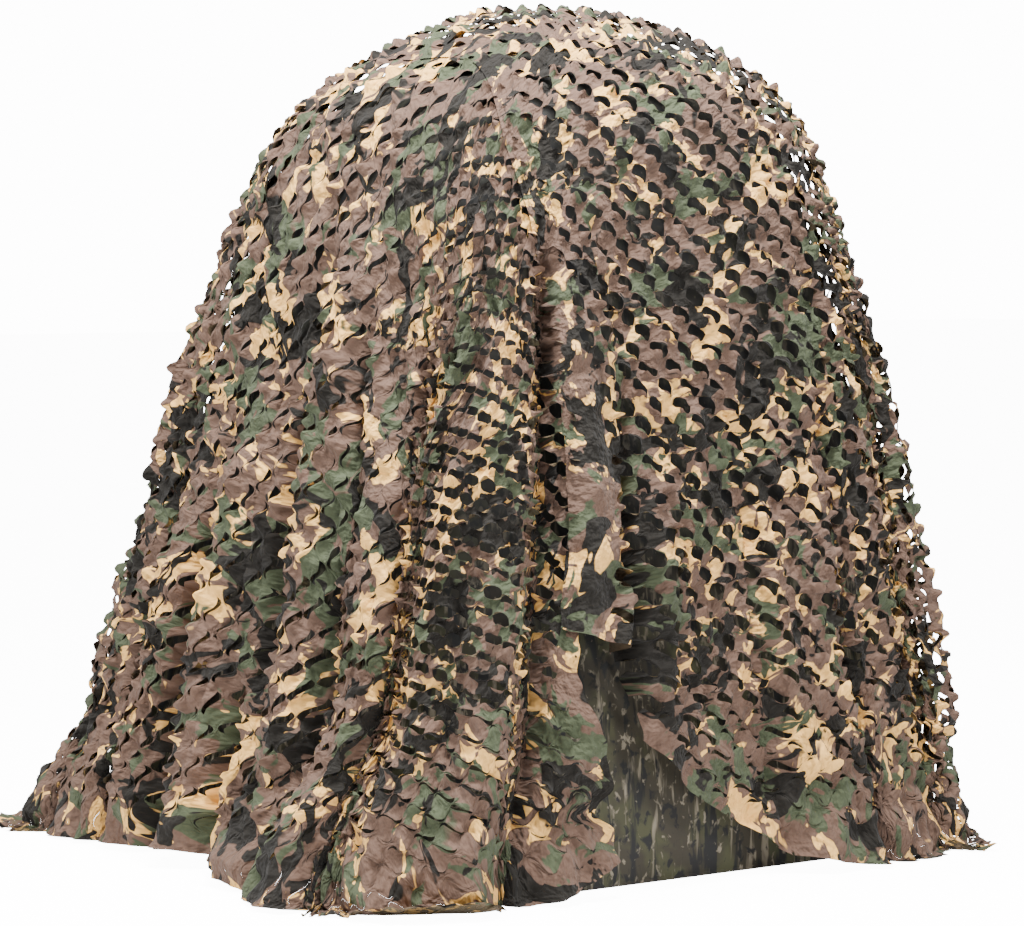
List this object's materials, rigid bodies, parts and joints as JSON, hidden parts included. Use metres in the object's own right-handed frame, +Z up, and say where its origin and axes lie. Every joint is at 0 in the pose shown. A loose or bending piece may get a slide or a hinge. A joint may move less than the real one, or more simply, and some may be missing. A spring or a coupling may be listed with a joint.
{
  "type": "camouflage net on a pop-up blind",
  "caption": "Openwork camouflage net in lapped widths, draped over a square dome-roofed pop-up blind and reaching the floor, parted at the front corner of the lap.",
  "frame": {"origin": "on the floor, in the middle of the ground that the whole part covers", "axes": "+Z up, -Y towards the blind's door side, where the net is parted; the widths lap along Y"},
  "size_m": [1.7212, 1.6408, 1.7658],
  "materials": {
    "net": "matte printed woven cloth, slit and pulled open",
    "blind_fabric": "matte printed woven cloth"
  },
  "bodies": {
    "root": {"blind_shell": "blind_fabric", "net_left_width": "net", "net_right_width": "net"}
  },
  "joints": []
}
